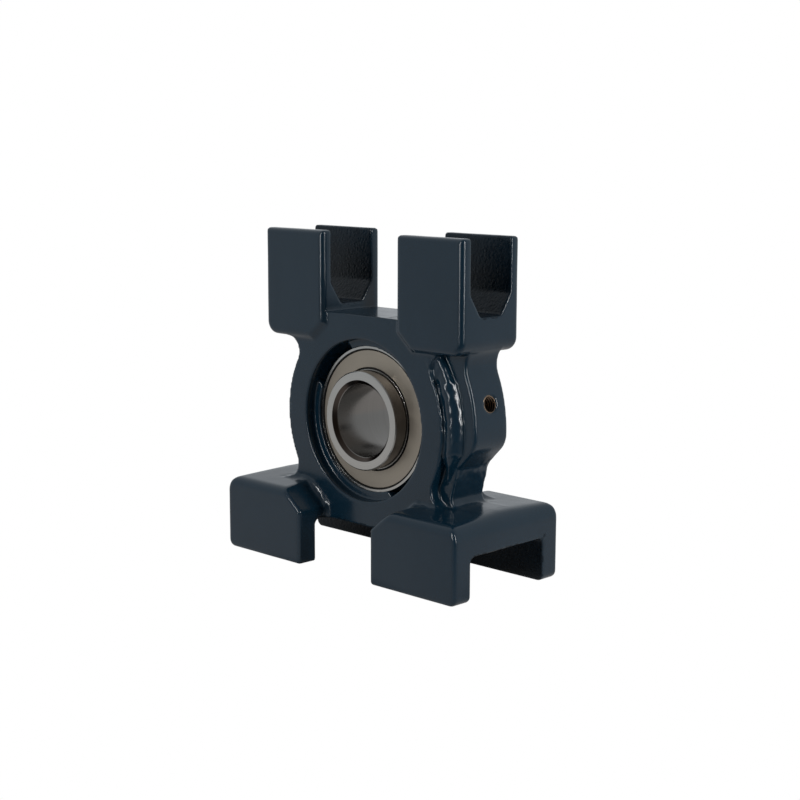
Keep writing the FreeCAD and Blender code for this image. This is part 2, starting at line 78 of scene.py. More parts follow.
# Upper arms of the housing, with the guide slot (mm)
TOP_HEIGHT, TOP_REACH, TOP_HALF, TOP_INNER, TOP_UNDERSIDE = 63.1, 46.6, 13.7, 17.3, 26.0
TOP_CHAMFER_RUN, TOP_CHAMFER_RISE, TOP_CORNER_ROUND = 6.4, 5.7, 4.5
EDGE_ROUND, UPPER_EDGE_ROUND, UPPER_FILLET, MOUTH_ROUND = 1.0, 1.8, 1.2, 0.4
SLOT_HALF, SLOT_NARROW, SLOT_BOTTOM, SLOT_SHOULDER, SLOT_ROUND = 9.55, 4.85, 38.1, 45.2, 1.6
SLOT_LEAN, SLOT_SKIN, LEAN_SKIN, BOTTOM_SKIN = 0.66, 0.25, 0.3, 0.5
NICK_HEIGHT, NICK_RADIUS, NICK_EDGE = 46.2, 0.9, 0.2

# Lower arms of the housing, with the channel (mm)
BASE_DROP, BASE_REACH, BASE_HALF, BASE_INNER, BASE_TOP = 50.8, 55.0, 25.5, 17.2, -24.0
BASE_CHAMFER_RUN, BASE_CHAMFER_DROP, BASE_CORNER_ROUND, BASE_TOE_ROUND = 9.9, 8.2, 6.5, 2.6
BASE_CROWN, CROWN_ROUND, CROWN_EDGE = 1.3, 3.5, 0.8
LOWER_EDGE_ROUND, LOWER_FILLET = 1.3, 2.4
CHANNEL_TOP, CHANNEL_HALF, CHANNEL_ROUND, CHANNEL_SKIN = -36.0, 17.6, 2.0, 0.3

# Grease boss with its hole (mm)
BOSS_RADIUS, BOSS_HALF, BOSS_MIDDLE, BOSS_EDGE, BOSS_FILLET = 47.85, 7.8, -0.4, 0.8, 0.6
BOSS_LOW_EDGE, BOSS_BEVEL_ROUND = -3.9, 8.0
BOSS_FOOT_X, BOSS_FOOT_LEAN, BOSS_FOOT_ROUND, BOSS_FOOT_FILLET = 40.3, 14.5, 1.5, 3.0
BOSS_TOP_FILLET, BOSS_SILL, BOSS_ROOT = 8.5, 11.0, 31.7
GREASE_ANGLE, GREASE_DEPTH = math.radians(12), 10.0
PASSAGE_RADIUS, PASSAGE_START, SINK_DEPTH, SINK_RADIUS, HOLE_EDGE = 1.5, 20.0, 0.2, 4.0, 0.15
THREAD_CORE, THREAD_MAJOR, THREAD_PITCH, THREAD_WALL = 2.4, 2.85, 1.0, 0.12
THREAD_START, THREAD_RUNOUT = 0.45, 0.7

# Beads between rim and boss, and the web that closes each at its top (mm)
BEAD_PATH, BEAD_LEVEL, BEAD_ROUND, BEAD_FILLET, BEAD_INSET = 39.4, 8.0, 3.4, 1.1, 0.8
BEAD_TOP, BEAD_TOP_FADE, BEAD_LOW, BEAD_LOW_FADE = 16.5, 0.8, -6.0, 0.28
WEB_RADIUS, WEB_HALF, WEB_LOW, WEB_RIM_ROUND, WEB_END_ROUND, WEB_FILLET = 42.3, 11.0, 16.5, 1.2, 1.5, 1.0

# Lumps of the casting (mm)
SEED, LATTICE_SPREAD = 7, 2.2
FINE_LUMP, FINE_DEPTH, COARSE_LUMP, COARSE_DEPTH, FACE_LUMP, FACE_DEPTH = 1.1, 0.15, 2.6, 0.12, 5.0, 0.03
BEAD_LUMPS_HALF, BEAD_LUMPS_WIDE, BEAD_LUMPS_FULL, BEAD_LUMPS_FALL = 2.6, 2.0, 1.2, 2.0
BEAD_LUMPS_TOP, BEAD_LUMPS_SPAN, BEAD_LUMPS_START, RIM_CLEAR = 15.5, 2.5, 10.0, 0.3
FRONT_CREASE_LUMPS, REAR_CREASE_LUMPS, CREASE_FULL, CREASE_WIDTH, CREASE_TOP = 1.5, 0.6, 1.3, 2.2, -20.0

# Insert (mm)
BORE_RADIUS, CHAMFER_RADIUS = 12.5, 13.9
LAND_CORE, LAND_RADIUS, LAND_HALF, LAND_ROUND = 16.6, 17.08, 7.4, 0.06
SKIRT_START, SKIRT_FULL, SKIRT_FADE, SKIRT_END = 16.7, 16.8, 16.9, 17.0
SHIELD_INNER, SHIELD_OUTER, SHIELD_FACE, SHIELD_BACK = 17.7, 23.5, 7.25, 6.6
RUBBER_INNER, RUBBER_CREST, RUBBER_SEAT, RUBBER_OUTER = 23.45, 23.7, 23.83, 24.1
RUBBER_BACK, RUBBER_STEP, RUBBER_LIP, RUBBER_FACE = 6.57, 7.0, 7.49, 7.53
CRISP = 0.06

# Brightness of the inner ring against its face: painted shade in its bore and on the skirt beside the land,
# and a darker chamfer
BORE_SHADE, CHAMFER_SHADE, SKIRT_SHADE = 0.5, 0.12, 0.5
LINES_A_METRE = 2600

# Light: colours of the surround from opposite the camera (0) to behind it (1), and two strips (m, W)
TOWARD_CAMERA = (0.7, -0.7, 0.14)
SURROUND = [(0, (0.64, 0.67, 0.70)), (0.5, (0.46, 0.49, 0.51)),
            (0.8, (0.22, 0.22, 0.22)), (1, (0.07, 0.06, 0.05))]
STRIP_WIDTH, STRIP_LENGTH, STRIP_DISTANCE, STRIP_HEIGHT = 0.06, 0.7, 0.9, 0.28
FRONT_STRIP_AZIMUTH, FRONT_STRIP_POWER = -4, 4
SIDE_STRIP_AZIMUTH, SIDE_STRIP_POWER = 94, 5

# Floor (m), and how strongly it shows in reflections, dimmed by painted shade: by the distance towards the
# camera in metres, and by the place in units of the footprint, a painted shadow under the object; each as
# (start, end) and (strength there, strength there)
FLOOR_HALF = 0.3
CAMERA_SIDE_PAINTED_SHADE = (0.04, 0.16), (1, 0.16)
FOOTPRINT_PAINTED_SHADOW = (0.8, 1.3), (0.1, 0.5)

# Camera, fitted to the photograph (m, radians, pixels, mm)
CAMERA_PLACE, CAMERA_AIM, CAMERA_ROLL = (0.371594, -0.372273, 0.093155), (0.006212, 0, 0.006474), 0.003
FOCAL_PIXELS, PICTURE_PIXELS, SENSOR_WIDTH = 1562.448, 800, 36


# Outlines: closed lists of points, in millimetres

def arc_points(centre, radius, start, end, count=10):
    """Points on an arc about centre, from the direction start to the direction end, the short way."""
    first = math.atan2(start[1], start[0])
    sweep = (math.atan2(end[1], end[0]) - first + math.pi) % (2 * math.pi) - math.pi
    angles = first + sweep * np.linspace(0, 1, count)
    return np.stack([centre[0] + radius * np.cos(angles), centre[1] + radius * np.sin(angles)], axis=1)


def unit(vector):
    return vector / np.linalg.norm(vector)


def bend(before, here, after, radius):
    """Points of the arc that rounds the corner here between two straight edges."""
    before, here, after = (np.array(p, float) for p in (before, here, after))
    back, on = unit(before - here), unit(after - here)
    half = math.acos(np.clip(back @ on, -1, 1)) / 2
    centre = here + unit(back + on) * radius / math.sin(half)
    run = radius / math.tan(half)
    return arc_points(centre, radius, here + back * run - centre, here + on * run - centre)


def rounded_outline(corners):
    """Outline through corners (a, b, radius), each rounded by its radius."""
    places = [(a, b) for a, b, _ in corners]
    parts = []
    for i, (a, b, radius) in enumerate(corners):
        if radius:
            parts.append(bend(places[i - 1], (a, b), places[(i + 1) % len(corners)], radius))
        else:
            parts.append(np.array([(a, b)], float))
    return np.concatenate(parts)


def crowned_level(y):
    return BASE_TOP - BASE_CROWN * abs(y) / BASE_HALF


def neck(level):
    """Points of the fillet between a level arm face and the ring's round side."""
    sign = math.copysign(1, level)
    z = level - sign * NECK_FILLET
    reach = RING_RADIUS + NECK_FILLET
    centre = np.array([math.sqrt(reach ** 2 - z ** 2), z])
    return arc_points(centre, NECK_FILLET, (0, sign), -centre, 16)


def ring_plate_outline():
    """Right half of the ring plate seen from the front: saddle, necks, round side and bridge."""
    top, low = neck(TOP_UNDERSIDE), neck(crowned_level(RING_HALF))
    side = arc_points((0, 0), RING_RADIUS, top[-1], low[-1], 48)
    saddle = [(PAST_MIDDLE, SADDLE_HEIGHT), (top[0, 0], SADDLE_HEIGHT)]
    bridge = [(low[0, 0], CHANNEL_TOP), (PAST_MIDDLE, CHANNEL_TOP)]
    return np.concatenate([saddle, top, side[1:-1], low[::-1], bridge])


def upper_arm_outline():
    """Right upper arm seen from the front."""
    return rounded_outline([(TOP_INNER, TOP_HEIGHT, EDGE_ROUND), (TOP_REACH, TOP_HEIGHT, EDGE_ROUND),
                            (TOP_REACH, TOP_UNDERSIDE, TOP_CORNER_ROUND),
                            (TOP_INNER + TOP_CHAMFER_RUN, TOP_UNDERSIDE, EDGE_ROUND),
                            (TOP_INNER, TOP_UNDERSIDE + TOP_CHAMFER_RISE, EDGE_ROUND)])


def lower_arm_outline():
    """Right lower arm seen from the front."""
    return rounded_outline([(BASE_INNER, -BASE_DROP, EDGE_ROUND), (BASE_REACH, -BASE_DROP, BASE_TOE_ROUND),
                            (BASE_REACH, BASE_TOP, BASE_CORNER_ROUND),
                            (BASE_INNER + BASE_CHAMFER_RUN, BASE_TOP, EDGE_ROUND),
                            (BASE_INNER, BASE_TOP - BASE_CHAMFER_DROP, EDGE_ROUND)])


def upper_slot():
    """Guide slot seen from the side: open upwards, narrowing below its shoulders to a flat bottom."""
    right = [(SLOT_NARROW, SLOT_BOTTOM, SLOT_ROUND), (SLOT_HALF, SLOT_SHOULDER, SLOT_ROUND),
             (SLOT_HALF, FAR, 0)]
    return rounded_outline([(-y, z, rounding) for y, z, rounding in reversed(right)] + right)


def lower_channel():
    """Channel seen from the side, open downwards."""
    return rounded_outline([(-CHANNEL_HALF, -FAR, 0), (CHANNEL_HALF, -FAR, 0),
                            (CHANNEL_HALF, CHANNEL_TOP, CHANNEL_ROUND),
                            (-CHANNEL_HALF, CHANNEL_TOP, CHANNEL_ROUND)])


def crown():
    """Lower arms seen from the side: their tops fall from the middle to both faces."""
    top = crowned_level(BASE_HALF)
    return rounded_outline([(-BASE_HALF, -FAR, 0), (BASE_HALF, -FAR, 0), (BASE_HALF, top, CROWN_ROUND),
                            (0, BASE_TOP, 0), (-BASE_HALF, top, CROWN_ROUND)])


def boss_outline():
    """The grease boss seen from the front: top fillet, round pad, bevel, foot wall and foot fillet."""
    floor = crowned_level(RING_HALF)
    corner = np.array([TOP_REACH - TOP_CORNER_ROUND, TOP_UNDERSIDE + TOP_CORNER_ROUND])
    reach, gap = BOSS_RADIUS + BOSS_TOP_FILLET, TOP_CORNER_ROUND + BOSS_TOP_FILLET
    span = np.linalg.norm(corner)
    along = (reach ** 2 - gap ** 2 + span ** 2) / (2 * span)
    way = corner / span
    centre = way * along + np.array([way[1], -way[0]]) * math.sqrt(reach ** 2 - along ** 2)
    top = arc_points(centre, BOSS_TOP_FILLET, corner - centre, -centre, 16)
    pad_end = np.array([math.sqrt(BOSS_RADIUS ** 2 - BOSS_LOW_EDGE ** 2), BOSS_LOW_EDGE])
    outward, up = np.array([1, -1]) / math.sqrt(2), np.array([1, 1]) / math.sqrt(2)
    level, inner = outward @ pad_end - BOSS_BEVEL_ROUND, BOSS_RADIUS - BOSS_BEVEL_ROUND
    turn_centre = outward * level + up * math.sqrt(inner ** 2 - level ** 2)
    turn = arc_points(turn_centre, BOSS_BEVEL_ROUND, turn_centre, outward, 12)
    pad = arc_points((0, 0), BOSS_RADIUS, top[-1], turn[0], 40)
    foot = np.array([BOSS_FOOT_X, BOSS_LOW_EDGE - (pad_end[0] - BOSS_FOOT_X)])
    wall = BOSS_FOOT_X - (foot[1] - floor) * math.tan(math.radians(BOSS_FOOT_LEAN))
    sill = (wall + BOSS_SILL, floor)
    inside = [sill, (sill[0], floor - 1), (BOSS_ROOT, floor - 1), (BOSS_ROOT, corner[1]), tuple(corner)]
    return np.concatenate([top, pad[1:-1], turn, bend(pad_end, foot, (wall, floor), BOSS_FOOT_ROUND),
                           bend(foot, (wall, floor), sill, BOSS_FOOT_FILLET), inside])


def insert_space():
    """Half outline of what is bored out of the ring: counterbores and spherical seat."""
    rim = math.sqrt(SEAT_RADIUS ** 2 - SEAT_HALF ** 2)
    seat = arc_points((0, 0), SEAT_RADIUS, (rim, -SEAT_HALF), (rim, SEAT_HALF), 24)
    front = [(PAST_MIDDLE, -COUNTERBORE_END), (COUNTERBORE_RADIUS, -COUNTERBORE_END),
             (COUNTERBORE_RADIUS, -SEAT_HALF)]
    return np.concatenate([front, seat, [(radius, -y) for radius, y in reversed(front)]])


# Distance fields, negative inside

def outline_field(outline, a, b):
    """Signed distance from the plane grid a by b to a closed outline: the least distance to its edges,
    negative where a ray crosses the outline an odd number of times."""
    across, along = np.meshgrid(a, b, indexing="ij")
    nearest = np.full(across.shape, 1e9)
    inside = np.zeros(across.shape, bool)
    for (pa, pb), (qa, qb) in zip(outline, np.roll(outline, -1, axis=0)):
        ea, eb = qa - pa, qb - pb
        if ea == 0 and eb == 0:
            continue
        wa, wb = across - pa, along - pb
        t = np.clip((wa * ea + wb * eb) / (ea * ea + eb * eb), 0, 1)
        nearest = np.minimum(nearest, (wa - t * ea) ** 2 + (wb - t * eb) ** 2)
        if eb:
            inside ^= ((pb > along) != (qb > along)) & (wa < ea * wb / eb)
    return np.where(inside, -1.0, 1.0) * np.sqrt(nearest)


def meet(a, b, radius):
    """Where both fields are inside, with the edge between them rounded by radius."""
    p, q = a + radius, b + radius
    return np.minimum(np.maximum(p, q), 0) + np.hypot(np.maximum(p, 0), np.maximum(q, 0)) - radius


def join(a, b, radius):
    """Where either field is inside, with a fillet of that radius between them."""
    return -meet(-a, -b, radius)


def cut(a, b, radius):
    """Field a without field b, with the edge between them rounded."""
    return meet(a, -b, radius)


def turned_field(outline, x, y, z):
    """Field of a solid of revolution about Y: the distance to its half outline in (radius, y)."""
    radius = np.hypot(x, z)
    steps = np.arange(0, radius.max() + 1, RADIUS_STEP)
    section = outline_field(outline, steps, y.ravel())
    rows = [np.interp(radius[:, 0, :], steps, section[:, j]) for j in range(y.size)]
    return np.stack(rows, axis=1)


def cubic_weights(size, values):
    """Matrix that spreads lattice values, size apart, over the grid values, and the lattice's length."""
    place = (values - values[0]) / size + 1
    count = int(place[-1]) + 4
    lattice = np.abs(place[:, None] - np.arange(count)[None, :])
    near = 2 / 3 - lattice ** 2 + lattice ** 3 / 2
    far = np.maximum(2 - lattice, 0) ** 3 / 6
    return np.where(lattice < 1, near, far), count


def lumps(size, x, y, z, seed):
    """Smooth random field, mostly within -1 to 1, with features of that size: random numbers on a
    coarse lattice, blended with cubic weights along each axis."""
    (wx, nx), (wy, ny), (wz, nz) = (cubic_weights(size, v.ravel()) for v in (x, y, z))
    lattice = np.random.default_rng(seed).uniform(-LATTICE_SPREAD, LATTICE_SPREAD, (nx, ny, nz))
    part = np.einsum("ai,ijk->ajk", wx, lattice)
    part = np.einsum("bj,ajk->abk", wy, part)
    return np.einsum("ck,abk->abc", wz, part).astype(np.float32)


def ring_and_arms(x, y, z):
    """Field of the ring plate with its arms, their fillets, slots and channel, and the distance from the
    crease between the ring's face and the lower arms."""
    across, depth, height = np.abs(x.ravel()), y.ravel(), z.ravel()

    def seen_from_front(outline):
        return outline_field(outline, across, height)[:, None, :]

    def seen_from_side(outline):
        return outline_field(outline, depth, height)[None, :, :]

    plate = seen_from_front(ring_plate_outline())
    face = np.abs(y) - RING_HALF
    upper = meet(seen_from_front(upper_arm_outline()), np.abs(y) - TOP_HALF, UPPER_EDGE_ROUND)
    upper_fillet = np.maximum(join(face, upper, UPPER_FILLET), plate)
    lower = meet(seen_from_front(lower_arm_outline()), np.abs(y) - BASE_HALF, LOWER_EDGE_ROUND)
    lower = meet(lower, seen_from_side(crown()), CROWN_EDGE)
    lower_fillet = np.maximum(join(face, lower, LOWER_FILLET), plate)
    crease = np.hypot(np.hypot(np.maximum(face, 0), np.maximum(lower, 0)), np.maximum(plate, 0))
    upper = cut(upper, seen_from_side(upper_slot()), MOUTH_ROUND)
    lower = cut(lower, seen_from_side(lower_channel()), MOUTH_ROUND)
    body = np.minimum(np.minimum(meet(plate, face, RIM_ROUND), upper_fillet), np.minimum(upper, lower))
    return np.minimum(body, lower_fillet).astype(np.float32), crease.astype(np.float32)


def boss_and_beads(x, y, z):
    """Field of the grease boss, and field of the beads: a ring of round section about the shaft axis on
    each face, which thins out above and below and keeps within the boss's outline, with the web at its top."""
    front = outline_field(boss_outline(), x.ravel(), z.ravel())[:, None, :]
    boss = meet(front, np.abs(y - BOSS_MIDDLE) - BOSS_HALF, BOSS_EDGE)
    radius = np.hypot(x, z)
    bead = np.hypot(radius - BEAD_PATH, np.abs(y) - BEAD_LEVEL) - BEAD_ROUND
    bead += BEAD_LOW_FADE * np.maximum(BEAD_LOW - z, 0) + BEAD_TOP_FADE * np.maximum(z - BEAD_TOP, 0)
    web = meet(radius - WEB_RADIUS, np.abs(y) - WEB_HALF, WEB_RIM_ROUND)
    web = np.maximum(meet(web, WEB_LOW - z, WEB_END_ROUND), front)
    bead = join(meet(bead, front + BEAD_INSET, WEB_END_ROUND), web, WEB_FILLET)
    return boss.astype(np.float32), bead.astype(np.float32)


def cast_lumps(body, crease, x, y, z):
    """The body with the rough skin of a casting: strong on the beads, most of all near their tops, and
    along the crease above the lower arms, faint on the open faces."""
    radius = np.hypot(x, z)
    off_bead = np.hypot(np.maximum(np.abs(y) - BEAD_LEVEL - BEAD_LUMPS_HALF, 0),
                        np.maximum(radius - BEAD_PATH - BEAD_LUMPS_WIDE, 0))
    near_top = 1 + np.exp(-((z - BEAD_LUMPS_TOP) / BEAD_LUMPS_SPAN) ** 2)
    by_boss = (x > BEAD_LUMPS_START) * (radius > RING_RADIUS - RIM_CLEAR)
    strong = np.clip(BEAD_LUMPS_FULL - off_bead / BEAD_LUMPS_FALL, 0, 1) * by_boss * near_top
    ragged = np.where(y < 0, FRONT_CREASE_LUMPS, REAR_CREASE_LUMPS) * (z < CREASE_TOP)
    ragged = ragged * np.clip(CREASE_FULL - crease / CREASE_WIDTH, 0, 1)
    strong = np.maximum(strong, ragged).astype(np.float32)
    fine, coarse = lumps(FINE_LUMP, x, y, z, SEED), lumps(COARSE_LUMP, x, y, z, SEED + 1)
    body = body - strong * (FINE_DEPTH * fine + COARSE_DEPTH * coarse)
    return body - FACE_DEPTH * lumps(FACE_LUMP, x, y, z, SEED + 2)


def bored(body, x, y, z):
    """The body without the insert's space, the two loading slots, and the grease hole with its passage."""
    body = cut(body, turned_field(insert_space(), x, y, z), SEAT_EDGE)
    angle = math.radians(LOADING_SLOT_ANGLE)
    across = np.abs(-math.sin(angle) * x + math.cos(angle) * z) - LOADING_SLOT_HALF
    slot = np.maximum(np.maximum(across, np.hypot(x, z) - COUNTERBORE_RADIUS), y)
    body = cut(body, slot, LOADING_SLOT_EDGE)
    along = math.cos(GREASE_ANGLE) * x + math.sin(GREASE_ANGLE) * z
    off = np.hypot(-math.sin(GREASE_ANGLE) * x + math.cos(GREASE_ANGLE) * z, y)
    hole = np.maximum(off - THREAD_MAJOR, BOSS_RADIUS - GREASE_DEPTH - along)
    sink = np.maximum(off - THREAD_MAJOR - SINK_DEPTH + (BOSS_RADIUS - along), off - SINK_RADIUS)
    passage = np.maximum(off - PASSAGE_RADIUS, PASSAGE_START - along)
    return cut(body, np.minimum(np.minimum(hole, sink), passage), HOLE_EDGE)


def housing_field(x, y, z):
    """The casting: ring and arms, boss and beads, its lumps, a nick in one arm, and what is bored."""
    body, crease = ring_and_arms(x, y, z)
    boss, bead = boss_and_beads(x, y, z)
    body = np.minimum(join(body, bead, BEAD_FILLET), join(body, boss, BOSS_FILLET))
    body = cast_lumps(body, crease, x, y, z)
    nick = np.sqrt((x + TOP_INNER) ** 2 + (y + TOP_HALF) ** 2 + (z - NICK_HEIGHT) ** 2) - NICK_RADIUS
    body = cut(body, nick.astype(np.float32), NICK_EDGE)
    return bored(body, x, y, z).astype(np.float32)


# Meshes

def zero_surface(field, corner, step):
    """Mesh of the level where the field is zero: one point in every grid cell that it passes through,
    at the mean of its crossings with the cell's edges, and one square across every grid edge with one
    end inside."""
    inside = field < 0
    cells = tuple(n - 1 for n in field.shape)
    offsets = [(i, j, k) for i in (0, 1) for j in (0, 1) for k in (0, 1)]
    full = np.zeros(cells, np.int8)
    for i, j, k in offsets:
        full += inside[i:i + cells[0], j:j + cells[1], k:k + cells[2]]
    active = (full > 0) & (full < 8)
    cell = np.argwhere(active)
    number = np.full(cells, -1, np.int32)
    number[active] = np.arange(len(cell))
    total, hits = np.zeros((len(cell), 3)), np.zeros(len(cell))
    for axis in range(3):
        for offset in offsets:
            if offset[axis]:
                continue
            low = cell + offset
            high = low.copy()
            high[:, axis] += 1
            a, b = field[tuple(low.T)], field[tuple(high.T)]
            crossed = (a < 0) != (b < 0)
            point = np.tile(np.array(offset, float), (len(cell), 1))
            point[crossed, axis] += (a / np.where(crossed, a - b, 1))[crossed]
            total += point * crossed[:, None]
            hits += crossed
    points = corner + step * (cell + total / hits[:, None])
    squares = []
    for axis in range(3):
        low = np.take(inside, range(cells[axis]), axis)
        high = np.take(inside, range(1, cells[axis] + 1), axis)
        edge = np.argwhere(low != high)
        u, v = np.eye(3, dtype=int)[(axis + 1) % 3], np.eye(3, dtype=int)[(axis + 2) % 3]
        square = np.stack([number[tuple(p.T)] for p in (edge, edge - u, edge - u - v, edge - v)], axis=1)
        leaving = low[tuple(edge.T)]
        squares.append(np.where(leaving[:, None], square, square[:, ::-1]))
    return points, np.concatenate(squares)


def new_mesh(name, points, faces):
    """Blender object from points in metres and an array of faces that all have as many corners."""
    mesh = bpy.data.meshes.new(name)
    corners = faces.shape[1]
    mesh.vertices.add(len(points))
    mesh.vertices.foreach_set("co", np.asarray(points, np.float32).ravel())
    mesh.loops.add(faces.size)
    mesh.loops.foreach_set("vertex_index", faces.astype(np.int32).ravel())
    mesh.polygons.add(len(faces))
    mesh.polygons.foreach_set("loop_start", np.arange(0, faces.size, corners, dtype=np.int32))
    mesh.polygons.foreach_set("loop_total", np.full(len(faces), corners, np.int32))
    mesh.polygons.foreach_set("use_smooth", np.ones(len(faces), bool))
    mesh.update(calc_edges=True)
    thing = bpy.data.objects.new(name, mesh)
    bpy.context.scene.collection.objects.link(thing)
    return thing


def keep_result(thing):
    """Put what the object's modifiers make in place of its mesh."""
    graph = bpy.context.evaluated_depsgraph_get()
    made = bpy.data.meshes.new_from_object(thing.evaluated_get(graph))
    thing.modifiers.clear()
    thing.data = made


def sample(field, place):
    """Values of a field at fractional grid places, linear between the grid points."""
    place = np.clip(place, 0, np.array(field.shape) - 1.001)
    low = place.astype(int)
    part = place - low
    total = 0
    for offset in [(i, j, k) for i in (0, 1) for j in (0, 1) for k in (0, 1)]:
        weight = np.prod(np.abs(1 - np.array(offset) - part), axis=1)
        total = total + weight * field[tuple((low + offset).T)]
    return total


def shade_from_field(mesh, places, field):
    """Take the mesh's normals from the slope of the field, which is smooth where triangles are long."""
    grid_places = (places - np.array(GRID_LOW)) / GRID_STEP
    slope = np.stack([sample(g, grid_places) for g in np.gradient(field)], axis=1)
    slope /= np.maximum(np.linalg.norm(slope, axis=1, keepdims=True), 1e-6)
    mesh.normals_split_custom_set_from_vertices(slope.tolist())


def dull_and_shade_slot_walls(mesh, places):
    """Give the mesh's second material, the duller paint with painted shade, to the walls of the slots and the
    channel, found as what lies within their outlines grown by a thin skin."""
    depth, height = np.abs(places[:, 1]), places[:, 2]
    lean = SLOT_NARROW + LEAN_SKIN + SLOT_LEAN * np.maximum(height - SLOT_BOTTOM, 0)
    in_slot = (depth < np.minimum(SLOT_HALF + SLOT_SKIN, lean)) & (height > SLOT_BOTTOM - BOTTOM_SKIN)
    in_channel = (depth < CHANNEL_HALF + CHANNEL_SKIN) & (height < CHANNEL_TOP + CHANNEL_SKIN)
    first = np.empty(len(mesh.polygons), np.int32)
    mesh.polygons.foreach_get("loop_start", first)
    corners = np.empty(len(mesh.loops), np.int32)
    mesh.loops.foreach_get("vertex_index", corners)
    second = (in_slot | in_channel)[corners[first]]
    mesh.polygons.foreach_set("material_index", second.astype(np.int32))


def cast_skin():
    """The painted casting, in place of the housing's solid."""
    x, y, z = (np.arange(low, high, GRID_STEP, dtype=np.float32) for low, high in zip(GRID_LOW, GRID_HIGH))
    field = housing_field(x[:, None, None], y[None, :, None], z[None, None, :])
    points, squares = zero_surface(field, np.array(GRID_LOW), GRID_STEP)
    skin = new_mesh("cast_housing", points * MM, squares)
    thin = skin.modifiers.new("thin", "DECIMATE")
    thin.ratio = min(1.0, SKIN_TRIANGLES / (2 * len(squares)))
    keep_result(skin)
    mesh = skin.data
    places = np.empty(len(mesh.vertices) * 3, np.float32)
    mesh.vertices.foreach_get("co", places)
    places = places.reshape(-1, 3) / MM
    shade_from_field(mesh, places, field)
    mesh.materials.append(cast_paint())
    # Second material: duller paint with painted shade in the slots and the channel
    mesh.materials.append(slot_paint_and_shade())
    dull_and_shade_slot_walls(mesh, places)
    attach(skin, "housing")
    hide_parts("housing")


def lathe(name, corners, around=256):
    """Ring turned about the shaft axis from the corners (radius, y, rounding) of its section, in mm. Each
    long straight run gets two more points near its ends, so that the shading stays crisp."""
    section = rounded_outline(corners)
    on = np.roll(section, -1, axis=0) - section
    margin = (CRISP / np.maximum(np.linalg.norm(on, axis=1), 4 * CRISP))[:, None]
    section = np.stack([section, section + on * margin, section + on * (1 - margin)], axis=1).reshape(-1, 2)
    after = np.roll(section, -1, axis=0)
    if (section[:, 0] * after[:, 1] - section[:, 1] * after[:, 0]).sum() < 0:
        section = section[::-1]
    angle = np.linspace(0, 2 * math.pi, around, endpoint=False)[None, :]
    radius, level = section[:, :1], section[:, 1:] + 0 * angle
    points = np.stack([radius * np.cos(angle), level, radius * np.sin(angle)], axis=-1).reshape(-1, 3)
    index = np.arange(len(section) * around).reshape(len(section), around)
    up, step = np.roll(index, -1, axis=0), np.roll(index, -1, axis=1)
    faces = np.stack([index, up, np.roll(up, -1, axis=1), step], axis=-1).reshape(-1, 4)
    return new_mesh(name, points * MM, faces)


def on_side(side, section):
    """Corners of a section, moved to the front (-1) or the rear (1)."""
    return [(radius, side * y, rounding) for radius, y, rounding in section]


def shield_section(side):
    """Pressed sheet with a rounded rim."""
    return on_side(side, [(SHIELD_INNER, SHIELD_FACE, 0.12), (SHIELD_OUTER, SHIELD_FACE, 0.15),
                          (SHIELD_OUTER, SHIELD_BACK, 0), (SHIELD_INNER, SHIELD_BACK, 0)])


def rubber_section(side):
    """Rubber rim between the shield and the face of the outer ring, with a lip over that face."""
    return on_side(side, [(RUBBER_INNER, RUBBER_BACK, 0), (RUBBER_INNER, RUBBER_STEP, 0),
                          (RUBBER_CREST, RUBBER_FACE, 0.05), (RUBBER_OUTER, RUBBER_FACE, 0.02),
                          (RUBBER_OUTER, RUBBER_LIP, 0), (RUBBER_SEAT, RUBBER_LIP, 0),
                          (RUBBER_SEAT, RUBBER_BACK, 0)])


def land_section():
    """Collar on the inner ring that the seals run on."""
    return [(LAND_CORE, -LAND_HALF, 0), (LAND_RADIUS, -LAND_HALF, LAND_ROUND),
            (LAND_RADIUS, LAND_HALF, LAND_ROUND), (LAND_CORE, LAND_HALF, 0)]


def grease_thread():
    """Sleeve with a triangular thread: radius between core and major size, as a helix of one pitch a turn."""
    turns, rows_a_turn, around = (GREASE_DEPTH - THREAD_RUNOUT) / THREAD_PITCH, 16, 48
    rows = int(turns * rows_a_turn) + 1
    angle = np.linspace(0, 2 * math.pi, around, endpoint=False)[None, :]
    depth = np.linspace(0, turns, rows)[:, None]
    wave = np.abs(((depth + angle / (2 * math.pi)) % 1.0) * 2 - 1)
    inner = THREAD_CORE + (THREAD_MAJOR - THREAD_CORE) * np.clip(wave * 1.2 - 0.1, 0, 1)
    outer = np.full(inner.shape, THREAD_MAJOR + THREAD_WALL)
    along = BOSS_RADIUS - THREAD_START - depth * THREAD_PITCH + 0 * angle
    rings = []
    for radius in (inner, outer):
        side, rise = radius * np.cos(angle), radius * np.sin(angle)
        rings.append(np.stack([math.cos(GREASE_ANGLE) * along - math.sin(GREASE_ANGLE) * rise, side,
                               math.sin(GREASE_ANGLE) * along + math.cos(GREASE_ANGLE) * rise], axis=-1))
    points = np.concatenate([r.reshape(-1, 3) for r in rings])
    index = np.arange(rows * around).reshape(rows, around)
    step = np.roll(index, -1, axis=1)
    shift = rows * around
    walls = np.stack([index[:-1], step[:-1], step[1:], index[1:]], axis=-1).reshape(-1, 4)
    outside = walls[:, ::-1] + shift
    ends = [np.stack([index[0], index[0] + shift, step[0] + shift, step[0]], axis=-1),
            np.stack([index[-1], step[-1], step[-1] + shift, index[-1] + shift], axis=-1)]
    return new_mesh("grease_thread", points * MM, np.concatenate([walls, outside] + ends))


# Materials

def material(name, color, metallic, roughness):
    made = bpy.data.materials.new(name)
    made.use_nodes = True
    shader = made.node_tree.nodes["Principled BSDF"]
    shader.inputs["Base Color"].default_value = (*color, 1)
    shader.inputs["Metallic"].default_value = metallic
    shader.inputs["Roughness"].default_value = roughness
    return made, made.node_tree, shader


def object_place(tree):
    """The object's own coordinates, in metres."""
    return tree.nodes.new("ShaderNodeTexCoord").outputs["Object"]


